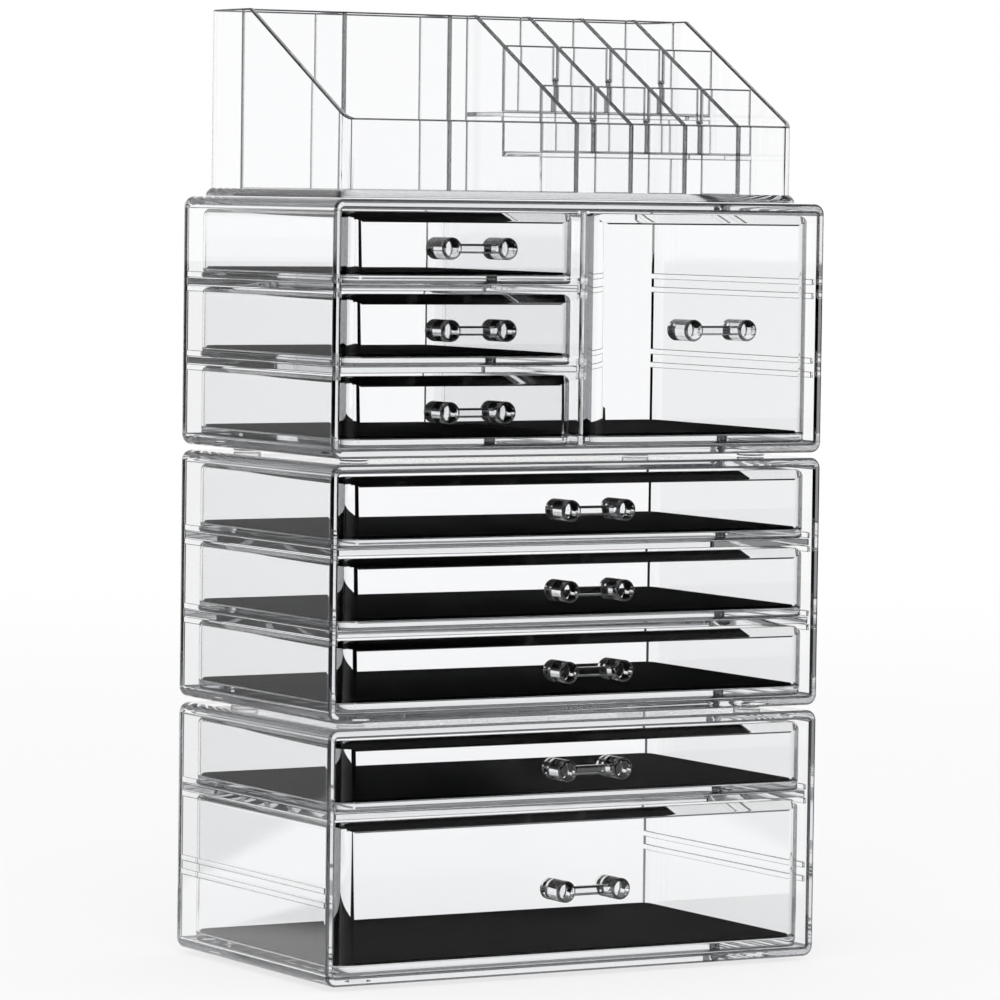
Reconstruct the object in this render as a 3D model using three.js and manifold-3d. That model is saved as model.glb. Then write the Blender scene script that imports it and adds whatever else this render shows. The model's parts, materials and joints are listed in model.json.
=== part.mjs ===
// A stacking organizer for make-up, moulded in clear plastic: three cases of drawers and,
// on top, a tray of sixteen compartments with a stepped rack for lipsticks.
// Millimetres, +Z up, the drawers open towards -Y. The origin is the middle of the footprint.
import * as THREE from 'three';
import { mergeVertices } from 'three/addons/utils/BufferGeometryUtils.js';
import Module from 'manifold-3d';

const wasm = await Module();
wasm.setup();

// The case of one unit, the same for all three
const caseWidth = 240;
const caseDepth = 140;
const caseHeight = 107.2;
const caseCorner = 4.5;
const caseBackRound = 4;
const sideWall = 3.4;
const deckThick = 4;
const cavityRound = 1;
const levelCount = 3;

// Shelves, the upright partition and the ribs whose grooves hold them
const shelfThick = 2.8;
const partitionThick = 2.6;
const ribReach = 1.2;
const ribThick = 2.6;
const deckRibThick = 1.2;
const mouthSetback = 2;

// Feet moulded under each case
const footRadius = 6;
const footHeight = 2;
const footRound = 0.5;
const footInset = 22;

// Drawers
const drawerCorner = 8;
const drawerInnerCorner = 2.5;
const drawerEdgeRound = 1.4;
const drawerRimRound = 3.4;
const drawerSide = 2;
const drawerFront = 5.2;
const bevelDepth = 2.7;
const bevelHeight = 3.9;
const drawerFloor = 2.2;
const drawerFillet = 1;
const skirtHeight = 1;
const skirtWidth = 3;
const drawerSetback = 0.5;
const backRoom = 6;
const headRoom = 1.1;
const slideGap = 0.4;

// Liner mats
const linerThick = 1.6;

// Drawer handles: two posts joined by a bar
const postPitch = 26.8;
const postRadius = 4.65;
const postRound = 1.1;
const handleReach = 15;
const barHeight = 4;
const barDepth = 4;
const barRound = 0.9;
const barInset = 0.8;
const pegRadius = 2;

// The top tray
const trayWidth = 220;
const trayDepth = 128;
const trayHeight = 80;
const trayFrontHeight = 33;
const trayCorner = 7;
const trayWall = 2.2;
const trayFloor = 3;
const plinthReach = 2.5;
const plinthHeight = 3.4;
const crestRun = 39;
const backRowRun = 31.5;
const firstBackCell = 48;
const secondBackCell = 50;
const columnCount = 4;
const rowCount = 3;
const stairThick = 2;
const trayFrontShare = 0.69;

// Clearances
const seatGap = 0.3;
const bondGap = 0.1;
const overrun = 5;

// Facets
const cornerSteps = 2;
const roundSteps = 2;
const turnSides = 16;
const plinthSteps = 1;
const filletSteps = 1;
const weldDistance = 1e-5;

// Places worked out from the sizes above
const unitPitch = footHeight + caseHeight + seatGap;
const levelPitch = (caseHeight - 2 * deckThick + shelfThick) / levelCount;
const handleProud = handleReach - drawerSetback;
const frontPlane = -(caseDepth + handleProud) / 2 + handleProud;
const plateDepth = caseDepth - mouthSetback - sideWall - seatGap;
const drawerDepth = caseDepth - drawerSetback - sideWall - backRoom;
const grooveHalf = shelfThick / 2 + seatGap;
const partitionReach = partitionThick / 2 + Math.max(ribReach, seatGap + deckRibThick);
const drawerLeft = -caseWidth / 2 + sideWall + ribReach + slideGap;
const drawerInnerEdge = partitionReach + slideGap;

const shelfMiddle = (level) => deckThick + level * levelPitch - shelfThick / 2;
const bayFloor = (level) => deckThick + level * levelPitch;

const crest = trayDepth - crestRun;
const rowWallFront = trayDepth - backRowRun;
const rowPitch = rowWallFront / rowCount;
const columnPitch = (trayWidth / 2 - trayWall) / columnCount;
const slope = (trayHeight - trayFrontHeight) / (crest - trayWall);
const slopeHeight = (y) => trayFrontHeight + (y - trayWall) * slope;
const rackFloor = (row) => trayFloor + row * rowPitch * slope;
const crossTop = (row) => slopeHeight(row * rowPitch);
const crossMiddle = (row) => (rackFloor(row) + crossTop(row)) / 2;

// Clear plastic, with a touch of cool grey, and the black foam of the mats
const clearPlastic = { color: 0xe9eef0, roughness: 0.06, metalness: 0, transparent: true, opacity: 0.4 };
const blackFoam = { color: 0x17171a, roughness: 0.9, metalness: 0 };

// Turns a closed geometry into a solid for joining and cutting.
function solid(geometry) {
  const bare = geometry.index ? geometry.toNonIndexed() : geometry.clone();
  bare.deleteAttribute('normal');
  bare.deleteAttribute('uv');
  const merged = mergeVertices(bare, weldDistance);
  return new wasm.Manifold(new wasm.Mesh({
    numProp: 3,
    vertProperties: new Float32Array(merged.attributes.position.array),
    triVerts: new Uint32Array(merged.index.array),
  }));
}

// Turns a solid back into a geometry with flat faces.
function geometryOf(body) {
  const mesh = body.getMesh();
  const geometry = new THREE.BufferGeometry();
  geometry.setAttribute('position', new THREE.BufferAttribute(new Float32Array(mesh.vertProperties), 3));
  geometry.setIndex(new THREE.BufferAttribute(new Uint32Array(mesh.triVerts), 1));
  geometry.computeVertexNormals();
  return geometry;
}

function joinAll(bodies) {
  return bodies.reduce((whole, body) => whole.add(body));
}

// A rectangle with round corners, centred on the origin.
function roundedOutline(width, depth, corner) {
  const x = width / 2;
  const y = depth / 2;
  const shape = new THREE.Shape();
  shape.moveTo(-x + corner, -y);
  shape.lineTo(x - corner, -y);
  shape.absarc(x - corner, -y + corner, corner, -Math.PI / 2, 0);
  shape.lineTo(x, y - corner);
  shape.absarc(x - corner, y - corner, corner, 0, Math.PI / 2);
  shape.lineTo(-x + corner, y);
  shape.absarc(-x + corner, y - corner, corner, Math.PI / 2, Math.PI);
  shape.lineTo(-x, -y + corner);
  shape.absarc(-x + corner, -y + corner, corner, Math.PI, Math.PI * 1.5);
  return shape;
}

// A block on z = 0 with round upright corners. Its top and bottom edges are rounded alike.
function roundedBlock(width, depth, height, corner, edgeRound, edgeSteps = roundSteps) {
  const geometry = new THREE.ExtrudeGeometry(roundedOutline(width, depth, corner), {
    depth: height - 2 * edgeRound,
    bevelEnabled: edgeRound > 0,
    bevelThickness: edgeRound,
    bevelSize: edgeRound,
    bevelOffset: -edgeRound,
    bevelSegments: edgeSteps,
    curveSegments: cornerSteps,
  });
  geometry.translate(0, 0, edgeRound);
  return geometry;
}

// A square-edged box from its low corner to its high corner.
function boxBetween(low, high) {
  const geometry = new THREE.BoxGeometry(high[0] - low[0], high[1] - low[1], high[2] - low[2]);
  geometry.translate((low[0] + high[0]) / 2, (low[1] + high[1]) / 2, (low[2] + high[2]) / 2);
  return geometry;
}

// A flat plate whose outline is drawn in y and z, standing from x to x + thickness.
function uprightPlate(outline, x, thickness) {
  const shape = new THREE.Shape(outline.map(([y, z]) => new THREE.Vector2(y, z)));
  const geometry = new THREE.ExtrudeGeometry(shape, { depth: thickness, bevelEnabled: false });
  geometry.rotateY(Math.PI / 2);
  geometry.rotateX(Math.PI / 2);
  geometry.translate(x, 0, 0);
  return geometry;
}

// A pair of ribs along a wall at each shelf level; together they form a groove for a shelf.
// The ribs stand out of the plane x = face, towards the side that outward points to.
function shelfRibs(face, outward, root) {
  const ribs = [];
  const xs = [face - outward * root, face + outward * ribReach];
  for (let level = 1; level < levelCount; level += 1) {
    for (const side of [-1, 1]) {
      const near = shelfMiddle(level) + side * grooveHalf;
      const far = near + side * ribThick;
      ribs.push(solid(boxBetween(
        [Math.min(...xs), mouthSetback, Math.min(near, far)],
        [Math.max(...xs), mouthSetback + plateDepth, Math.max(near, far)],
      )));
    }
  }
  return ribs;
}

// Ribs along the bottom and top decks that hold the upright partition.
function partitionRibs() {
  const ribs = [];
  const near = partitionThick / 2 + seatGap;
  const decks = [
    [deckThick / 2, deckThick + ribReach],
    [caseHeight - deckThick - ribReach, caseHeight - deckThick / 2],
  ];
  for (const side of [-1, 1]) {
    const xs = [side * near, side * (near + deckRibThick)];
    for (const [low, high] of decks) {
      ribs.push(solid(boxBetween(
        [Math.min(...xs), mouthSetback, low],
        [Math.max(...xs), mouthSetback + plateDepth, high],
      )));
    }
  }
  return ribs;
}

// Four round feet, turned profiles that root in the bottom deck.
function feet() {
  const profile = [
    new THREE.Vector2(0, -footHeight),
    new THREE.Vector2(footRadius - footRound, -footHeight),
    new THREE.Vector2(footRadius, footRound - footHeight),
    new THREE.Vector2(footRadius, deckThick / 2),
    new THREE.Vector2(0, deckThick / 2),
  ];
  const places = [];
  for (const x of [footInset - caseWidth / 2, caseWidth / 2 - footInset]) {
    for (const y of [footInset, caseDepth - footInset]) {
      places.push([x, y]);
    }
  }
  return places.map(([x, y]) => {
    const foot = new THREE.LatheGeometry(profile, turnSides);
    foot.rotateX(Math.PI / 2);
    foot.translate(x, y, 0);
    return solid(foot);
  });
}

// A case: a box with round edges, open at the front, with shelf grooves on both side walls.
// It is drawn from y = 0 at its mouth to the back, with z = 0 under its bottom deck.
function caseShell(hasPartition) {
  const outer = roundedBlock(
    caseWidth, caseHeight, caseDepth + caseBackRound + overrun, caseCorner, caseBackRound);
  outer.rotateX(Math.PI / 2);
  outer.translate(0, caseDepth, caseHeight / 2);
  const cavity = roundedBlock(
    caseWidth - 2 * sideWall, caseHeight - 2 * deckThick, caseDepth + 2 * overrun,
    caseCorner - sideWall, cavityRound);
  cavity.rotateX(Math.PI / 2);
  cavity.translate(0, caseDepth - sideWall, caseHeight / 2);
  const mouth = boxBetween(
    [-caseWidth, -caseDepth, -overrun], [caseWidth, 0, caseHeight + overrun]);
  const shell = solid(outer).subtract(solid(mouth)).subtract(solid(cavity));
  const wallFace = caseWidth / 2 - sideWall;
  const parts = [
    shell,
    ...shelfRibs(-wallFace, 1, sideWall / 2),
    ...shelfRibs(wallFace, -1, sideWall / 2),
    ...feet(),
  ];
  if (hasPartition) {
    parts.push(...partitionRibs());
  }
  return geometryOf(joinAll(parts));
}

// A shelf plate for one groove pair, between two upright faces.
function shelfPlate(left, right, level) {
  const width = right - left - 2 * seatGap;
  const plate = roundedBlock(width, plateDepth, shelfThick, cavityRound, 0);
  plate.translate(
    (left + right) / 2, mouthSetback + plateDepth / 2, shelfMiddle(level) - shelfThick / 2);
  return plate;
}

// The upright plate that parts the two bays of the upper case, with grooves on both faces.
function partitionPlate() {
  const height = caseHeight - 2 * deckThick - 2 * seatGap;
  const plate = roundedBlock(height, plateDepth, partitionThick, cavityRound, 0);
  plate.rotateY(Math.PI / 2);
  plate.translate(-partitionThick / 2, mouthSetback + plateDepth / 2, caseHeight / 2);
  return geometryOf(joinAll([
    solid(plate),
    ...shelfRibs(-partitionThick / 2, -1, partitionThick / 2),
    ...shelfRibs(partitionThick / 2, 1, partitionThick / 2),
  ]));
}

// A drawer's outside, on z = 0: a small round at the foot, a large one at the rim, and a bevel
// along the top of the front.
function drawerBody(width, height) {
  const [foot, rim] = [drawerEdgeRound, drawerRimRound].map((edgeRound) => roundedBlock(
    width, drawerDepth, height + overrun, drawerCorner, edgeRound));
  rim.translate(0, 0, -overrun);
  const bevel = uprightPlate([
    [-bevelDepth, height - 2 * bevelHeight],
    [2 * bevelDepth, height + bevelHeight],
    [-bevelDepth, height + bevelHeight],
  ], -width, 2 * width);
  return solid(foot).intersect(solid(rim)).translate([0, drawerDepth / 2, 0]).subtract(solid(bevel));
}

// A drawer's hollow: round at the back, as its outside is, and with tighter corners behind the
// thick front.
function drawerHollow(width, height) {
  const depth = drawerDepth - drawerFront - drawerSide;
  const [whole, frontHalf] = [
    [depth, drawerCorner - drawerSide],
    [depth / 2, drawerInnerCorner],
  ].map(([run, corner]) => {
    const hollow = roundedBlock(
      width - 2 * drawerSide, run, height + overrun, corner, drawerFillet, filletSteps);
    hollow.translate(0, drawerFront + run / 2, skirtHeight + drawerFloor);
    return solid(hollow);
  });
  return whole.add(frontHalf);
}

// A drawer tray, drawn with its front face on y = 0 and its skirt on z = 0.
function drawerTray(width, height) {
  const recess = roundedBlock(
    width - 2 * skirtWidth, drawerDepth - 2 * skirtWidth, skirtHeight + overrun,
    drawerCorner - skirtWidth, 0);
  recess.translate(0, drawerDepth / 2, -overrun);
  let tray = drawerBody(width, height).subtract(drawerHollow(width, height)).subtract(solid(recess));
  for (const side of [-1, 1]) {
    const hole = new THREE.CylinderGeometry(
      pegRadius + bondGap, pegRadius + bondGap, drawerFront + 2 * overrun, turnSides);
    hole.translate(side * postPitch / 2, 0, height / 2);
    tray = tray.subtract(solid(hole));
  }
  return geometryOf(tray);
}

// The mat that lies on a drawer's floor, clear of the fillet round the floor.
function linerMat(width) {
  const inset = drawerFillet + bondGap;
  const insideDepth = drawerDepth - drawerFront - drawerSide;
  const mat = roundedBlock(
    width - 2 * drawerSide - 2 * inset, insideDepth - 2 * inset, linerThick,
    drawerCorner - drawerSide - drawerFillet, 0);
  mat.translate(0, drawerFront + insideDepth / 2, skirtHeight + drawerFloor + bondGap);
  return mat;
}

// A handle, drawn on the drawer's front face: each post is turned, with a peg behind it.
function drawerHandle() {
  const profile = [
    new THREE.Vector2(0, bondGap - drawerFront),
    new THREE.Vector2(pegRadius, bondGap - drawerFront),
    new THREE.Vector2(pegRadius, bondGap),
    new THREE.Vector2(postRadius, bondGap),
    new THREE.Vector2(postRadius, handleReach - postRound),
    new THREE.Vector2(postRadius - postRound * (1 - Math.SQRT1_2), handleReach - postRound * (1 - Math.SQRT1_2)),
    new THREE.Vector2(postRadius - postRound, handleReach),
    new THREE.Vector2(0, handleReach),
  ];
  const posts = [-1, 1].map((side) => {
    const post = new THREE.LatheGeometry(profile, turnSides);
    post.rotateX(Math.PI);
    post.translate(side * postPitch / 2, 0, 0);
    return solid(post);
  });
  const bar = roundedBlock(barHeight, barDepth, postPitch, barRound, 0);
  bar.rotateY(Math.PI / 2);
  bar.translate(-postPitch / 2, barDepth / 2 + barInset - handleReach, 0);
  return geometryOf(joinAll([...posts, solid(bar)]));
}

// The open tray: floor on a spreading plinth, and walls whose tops slope down to the front.
// It is drawn from y = 0 at its front wall to the back, with z = 0 under its plinth.
function trayShell() {
  const walls = roundedBlock(trayWidth, trayDepth, trayHeight, trayCorner, 0);
  walls.translate(0, trayDepth / 2, 0);
  const plinth = roundedBlock(
    trayWidth + 2 * plinthReach, trayDepth + 2 * plinthReach, 2 * plinthHeight,
    trayCorner + plinthReach, plinthReach, plinthSteps);
  plinth.translate(0, trayDepth / 2, -plinthHeight);
  const ground = boxBetween([-trayWidth, -trayDepth, -trayHeight], [trayWidth, 2 * trayDepth, 0]);
  const inside = roundedBlock(
    trayWidth - 2 * trayWall, trayDepth - 2 * trayWall, trayHeight, trayCorner - trayWall, 0);
  inside.translate(0, trayDepth / 2, trayFloor);
  const aboveSlope = uprightPlate([
    [-overrun, trayFrontHeight],
    [trayWall, trayFrontHeight],
    [crest, trayHeight],
    [crest, trayHeight + overrun],
    [-overrun, trayHeight + overrun],
  ], -trayWidth, 2 * trayWidth);
  return geometryOf(solid(walls).add(solid(plinth))
    .subtract(solid(ground)).subtract(solid(inside)).subtract(solid(aboveSlope)));
}

// The wall that parts the tall back row from the front of the tray.
function backRowWall() {
  const x = trayWidth / 2 - trayWall - seatGap;
  return boxBetween(
    [-x, rowWallFront, trayFloor + bondGap], [x, rowWallFront + trayWall, trayHeight]);
}

// A divider of the back row, from the row wall to the tray's back.
function backDivider(left) {
  const front = rowWallFront + trayWall + seatGap;
  const back = trayDepth - trayWall - seatGap;
  return boxBetween(
    [left, front, trayFloor + bondGap], [left + trayWall, back, trayHeight]);
}

// The left end of the lipstick rack, a plain plate that slopes down from the crest.
function rackEnd() {
  const front = trayWall + seatGap;
  const back = rowWallFront - seatGap;
  const floor = trayFloor + bondGap;
  return uprightPlate([
    [front, floor], [back, floor], [back, trayHeight], [crest, trayHeight], [front, slopeHeight(front)],
  ], 0, trayWall);
}

// An inner divider of the rack: its foot climbs the stair, and a slot from below
// lets each cross wall pass, so that the two plates halve into one another.
function rackDivider(column) {
  const front = trayWall + seatGap;
  const back = rowWallFront - seatGap;
  const outline = [[front, trayFloor + bondGap]];
  for (let row = 1; row < rowCount; row += 1) {
    const wallFront = row * rowPitch - seatGap;
    const wallBack = row * rowPitch + trayWall + seatGap;
    outline.push([wallFront, rackFloor(row - 1) + bondGap]);
    outline.push([wallFront, crossMiddle(row) + bondGap]);
    outline.push([wallBack, crossMiddle(row) + bondGap]);
    outline.push([wallBack, rackFloor(row) + bondGap]);
  }
  outline.push([back, rackFloor(rowCount - 1) + bondGap]);
  outline.push([back, trayHeight]);
  outline.push([crest, trayHeight]);
  outline.push([front, slopeHeight(front)]);
  return uprightPlate(outline, column * columnPitch, trayWall);
}

// A cross wall of the rack, slotted from above at each inner divider.
function crossWall(row) {
  const left = trayWall + seatGap;
  const right = columnCount * columnPitch - seatGap;
  const outline = [[left, rackFloor(row) + bondGap], [right, rackFloor(row) + bondGap]];
  outline.push([right, crossTop(row)]);
  for (let column = columnCount - 1; column > 0; column -= 1) {
    const slotRight = column * columnPitch + trayWall + seatGap;
    const slotLeft = column * columnPitch - seatGap;
    outline.push([slotRight, crossTop(row)]);
    outline.push([slotRight, crossMiddle(row) - bondGap]);
    outline.push([slotLeft, crossMiddle(row) - bondGap]);
    outline.push([slotLeft, crossTop(row)]);
  }
  outline.push([left, crossTop(row)]);
  const shape = new THREE.Shape(outline.map(([x, z]) => new THREE.Vector2(x, z)));
  const wall = new THREE.ExtrudeGeometry(shape, { depth: trayWall, bevelEnabled: false });
  wall.rotateX(Math.PI / 2);
  wall.translate(0, row * rowPitch + trayWall, 0);
  return wall;
}

// The stair under the rack: each row of lipsticks stands one step above the row before it.
function rackStair() {
  const back = rowWallFront - seatGap;
  const upper = [];
  const lower = [];
  for (let row = 1; row < rowCount; row += 1) {
    const riser = row * rowPitch;
    const foot = row === 1 ? trayFloor + bondGap : rackFloor(row - 1);
    upper.push([riser, foot], [riser, rackFloor(row)]);
    const under = row === 1 ? foot : rackFloor(row - 1) - stairThick;
    lower.push([riser + stairThick, under], [riser + stairThick, rackFloor(row) - stairThick]);
  }
  const topFloor = rackFloor(rowCount - 1);
  const outline = [...upper, [back, topFloor], [back, topFloor - stairThick], ...lower.reverse()];
  const left = trayWall + seatGap;
  return uprightPlate(outline, left, columnCount * columnPitch - seatGap - left);
}

function named(name, geometry, finish) {
  const mesh = new THREE.Mesh(geometry, new THREE.MeshStandardMaterial(finish));
  mesh.name = name;
  return mesh;
}

// A drawer with its mat and its handle. spans is how many levels of the case it fills.
function drawer(name, left, right, level, spans) {
  const width = right - left;
  const height = spans * levelPitch - shelfThick - seatGap - headRoom;
  const group = new THREE.Group();
  group.position.set((left + right) / 2, drawerSetback, bayFloor(level) + seatGap);
  group.add(named(name, drawerTray(width, height), clearPlastic));
  group.add(named(`${name}_liner`, linerMat(width), blackFoam));
  const handle = named(`${name}_handle`, drawerHandle(), clearPlastic);
  handle.position.set(0, 0, height / 2);
  group.add(handle);
  return group;
}

function unit(name, index, hasPartition) {
  const group = new THREE.Group();
  group.position.set(0, frontPlane, footHeight + index * unitPitch);
  group.add(named(`${name}_case`, caseShell(hasPartition), clearPlastic));
  return group;
}

const wallLeft = sideWall - caseWidth / 2;
const wallRight = caseWidth / 2 - sideWall;

// The bottom unit: a deep drawer of two levels under a shallow one.
function bottomUnit() {
  const group = unit('bottom', 0, false);
  group.add(named('bottom_shelf', shelfPlate(wallLeft, wallRight, 2), clearPlastic));
  group.add(drawer('bottom_deep_drawer', drawerLeft, -drawerLeft, 0, 2));
  group.add(drawer('bottom_shallow_drawer', drawerLeft, -drawerLeft, 2, 1));
  return group;
}

// The middle unit: three full-width drawers of one level each.
function middleUnit() {
  const group = unit('middle', 1, false);
  const names = ['middle_lower_drawer', 'middle_centre_drawer', 'middle_top_drawer'];
  names.forEach((name, level) => {
    if (level > 0) {
      const shelf = shelfPlate(wallLeft, wallRight, level);
      group.add(named(`middle_shelf_${level}`, shelf, clearPlastic));
    }
    group.add(drawer(name, drawerLeft, -drawerLeft, level, 1));
  });
  return group;
}

// The upper unit: three small drawers at the left and one full-height drawer at the right.
function upperUnit() {
  const group = unit('upper', 2, true);
  group.add(named('upper_partition', partitionPlate(), clearPlastic));
  const names = ['upper_left_lower_drawer', 'upper_left_centre_drawer', 'upper_left_top_drawer'];
  names.forEach((name, level) => {
    if (level > 0) {
      const shelf = shelfPlate(wallLeft, -partitionThick / 2, level);
      group.add(named(`upper_shelf_${level}`, shelf, clearPlastic));
    }
    group.add(drawer(name, drawerLeft, -drawerInnerEdge, level, 1));
  });
  group.add(drawer('upper_right_drawer', drawerInnerEdge, -drawerLeft, 0, levelCount));
  return group;
}

// The tray and what stands in it.
function topTray() {
  const group = new THREE.Group();
  const frontMargin = (caseDepth - trayDepth) * trayFrontShare;
  group.position.set(0, frontPlane + frontMargin, levelCount * unitPitch);
  group.add(named('tray_shell', trayShell(), clearPlastic));
  group.add(named('tray_back_row_wall', backRowWall(), clearPlastic));
  const firstLeft = trayWall - trayWidth / 2 + firstBackCell;
  const secondLeft = firstLeft + trayWall + secondBackCell;
  group.add(named('tray_back_divider_1', backDivider(firstLeft), clearPlastic));
  group.add(named('tray_back_divider_2', backDivider(secondLeft), clearPlastic));
  group.add(named('lipstick_rack_stair', rackStair(), clearPlastic));
  group.add(named('lipstick_rack_end', rackEnd(), clearPlastic));
  for (let column = 1; column < columnCount; column += 1) {
    group.add(named(`lipstick_rack_divider_${column}`, rackDivider(column), clearPlastic));
  }
  for (let row = 1; row < rowCount; row += 1) {
    group.add(named(`lipstick_rack_cross_wall_${row}`, crossWall(row), clearPlastic));
  }
  return group;
}

const organizer = new THREE.Group();
organizer.add(bottomUnit(), middleUnit(), upperUnit(), topTray());

export default organizer;
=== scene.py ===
# %% [markdown]
# # A stacking make-up organizer in clear plastic
# Three cases of drawers stand on one another and carry an open tray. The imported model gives
# every piece's size and place, and this lesson gives each piece the smooth surface that clear
# plastic needs, because every facet would show twice, once on each side of a wall.

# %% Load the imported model
import json
import math
import bmesh
import bpy
from mathutils import Matrix, Vector


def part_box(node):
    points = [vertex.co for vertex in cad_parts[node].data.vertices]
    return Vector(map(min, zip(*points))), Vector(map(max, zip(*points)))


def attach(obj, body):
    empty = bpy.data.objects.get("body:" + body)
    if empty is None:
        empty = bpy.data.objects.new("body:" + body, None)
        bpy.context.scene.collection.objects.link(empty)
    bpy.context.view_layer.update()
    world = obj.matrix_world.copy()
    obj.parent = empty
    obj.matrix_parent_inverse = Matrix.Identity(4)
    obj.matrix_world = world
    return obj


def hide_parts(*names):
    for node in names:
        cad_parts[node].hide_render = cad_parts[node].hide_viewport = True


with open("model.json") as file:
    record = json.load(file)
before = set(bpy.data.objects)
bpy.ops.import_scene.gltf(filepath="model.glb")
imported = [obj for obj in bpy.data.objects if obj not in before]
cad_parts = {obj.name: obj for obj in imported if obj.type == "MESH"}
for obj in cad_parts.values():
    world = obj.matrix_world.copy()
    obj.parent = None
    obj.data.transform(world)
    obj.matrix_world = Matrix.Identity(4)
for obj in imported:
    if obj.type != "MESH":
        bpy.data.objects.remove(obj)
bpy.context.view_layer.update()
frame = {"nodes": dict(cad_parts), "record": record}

print("pieces in the packed model:", len(frame["nodes"]))

# %% [markdown]
# All sizes here are in metres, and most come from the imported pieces' own boxes. The few that a
# box can't tell, such as a wall or a corner radius, are the ones that the model was drawn with.

# %% Sizes of the cases
MM = 0.001
X, Y, Z = range(3)
CASE_WALL = 3.4 * MM
CASE_DECK = 4 * MM
CASE_CORNER = 4.5 * MM
CASE_BACK_ROUND = 4 * MM
CASE_RIM_ROUND = 1 * MM
CAVITY_ROUND = 1 * MM
FOOT_HEIGHT = 2 * MM
FOOT_RADIUS = 6 * MM
FOOT_INSET = 22 * MM
FOOT_ROUND = 0.5 * MM
RIB_REACH = 1.2 * MM
RIB_THICK = 2.6 * MM
DECK_RIB_THICK = 1.2 * MM
RIB_GAP = 0.3 * MM
RIB_ROUND = 0.3 * MM
SHELF_THICK = 2.8 * MM
PARTITION_THICK = 2.6 * MM
MOUTH_SETBACK = 2 * MM
print("wall of a case:", CASE_WALL, "m")

# %% Sizes of the drawers and handles
DRAWER_WALL = 2 * MM
DRAWER_FRONT = 5.2 * MM
DRAWER_CORNER = 8 * MM
DRAWER_INNER_CORNER = 2.5 * MM
DRAWER_EDGE = 1.4 * MM
DRAWER_TOP_ROUND = 3.4 * MM
BEVEL_DEPTH = 2.7 * MM
BEVEL_HEIGHT = 3.9 * MM
BEVEL_EASE = 0.5 * MM
DRAWER_FLOOR = 3.2 * MM
DRAWER_FILLET = 1 * MM
SKIRT_HEIGHT = 1 * MM
SKIRT_WIDTH = 3 * MM
PEG_RADIUS = 2 * MM
BOND_GAP = 0.1 * MM
POST_PITCH = 26.8 * MM
POST_ROUND = 1.1 * MM
POST_FOOT_ROUND = 0.3 * MM
PEG_ROOT = 1 * MM
BAR_SIZE = 4 * MM
BAR_INSET = 0.8 * MM
BAR_ROUND = 0.9 * MM
MAT_CORNER = 5 * MM
MAT_EDGE = 0.25 * MM
print("front of a drawer:", DRAWER_FRONT, "m")

# %% Sizes of the tray
TRAY_WALL = 2.2 * MM
TRAY_FLOOR = 3 * MM
TRAY_CORNER = 7 * MM
TRAY_FRONT_HEIGHT = 33 * MM
TRAY_CREST_RUN = 39 * MM
PLINTH_REACH = 2.5 * MM
PLINTH_HEIGHT = 3.4 * MM
PLINTH_PROFILE = 0.35
PLATE_EDGE = 0.3 * MM
TOP_EDGE = 0.7 * MM
PLATE_ROUND = 0.7 * MM
print("wall of the tray:", TRAY_WALL, "m")

# %% [markdown]
# The photograph was taken with a long lens from the left of the front and a little above. The
# camera was fitted to the corners of the three cases, which the photograph shows sharply.

# %% Camera
CAMERA_PLACE = (-1.2195, -2.0979, 0.3329)
CAMERA_YAW = -30.093
CAMERA_PITCH = -3.161
CAMERA_ROLL = 0.757
CAMERA_FOCUS = 5.627
SENSOR_WIDTH = 36
CAMERA_SIGHT = 60

lens = bpy.data.cameras.new("photo_camera")
lens.sensor_width = SENSOR_WIDTH
lens.lens = lens.sensor_width * CAMERA_FOCUS
camera = bpy.data.objects.new("photo_camera", lens)
bpy.context.scene.collection.objects.link(camera)
camera.location = CAMERA_PLACE
camera.rotation_mode = "QUATERNION"
yaw, pitch = math.radians(CAMERA_YAW), math.radians(CAMERA_PITCH)
gaze = Vector((-math.sin(yaw) * math.cos(pitch), math.cos(yaw) * math.cos(pitch), math.sin(pitch)))
level_turn = gaze.to_track_quat("-Z", "Y").to_matrix()
roll = Matrix.Rotation(math.radians(CAMERA_ROLL), 3, "Z")
camera.rotation_quaternion = (level_turn @ roll).to_quaternion()
lens.clip_end = CAMERA_SIGHT
bpy.context.scene.camera = camera
print("camera stands at", tuple(round(c, 3) for c in camera.location))

# %% [markdown]
# Modelling by hand starts from a primitive: a block or a round bar between two places.

# %% Start a piece
def select_only(*pieces):
    bpy.ops.object.select_all(action="DESELECT")
    for piece in pieces:
        piece.select_set(True)
    bpy.context.view_layer.objects.active = pieces[0]


def block(name, low, high):
    bpy.ops.object.select_all(action="DESELECT")
    bpy.ops.mesh.primitive_cube_add(size=1, location=[(a + b) / 2 for a, b in zip(low, high)])
    piece = bpy.context.object
    piece.name = piece.data.name = name
    piece.scale = [b - a for a, b in zip(low, high)]
    bpy.ops.object.transform_apply(location=True, rotation=True, scale=True)
    return piece


def round_bar(name, start, end, radius, sides):
    """A cylinder between two points that lie on one line along X, Y or Z."""
    bpy.ops.object.select_all(action="DESELECT")
    way = Vector(end) - Vector(start)
    bpy.ops.mesh.primitive_cylinder_add(
        vertices=sides, radius=radius, depth=way.length, location=(Vector(start) + Vector(end)) / 2,
        rotation=way.to_track_quat("Z", "Y").to_euler())
    piece = bpy.context.object
    piece.name = piece.data.name = name
    bpy.ops.object.transform_apply(location=True, rotation=True, scale=True)
    return piece


print("block and round_bar are ready")

# %% [markdown]
# Edges are picked by the way they run or the plane they lie in, and rounded as the mould maker
# would. An edge counts as lying in a plane when it is closer to it than CLOSE.

# %% Round the edges
MOSTLY = 0.9
CLOSE = 0.05 * MM


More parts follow.
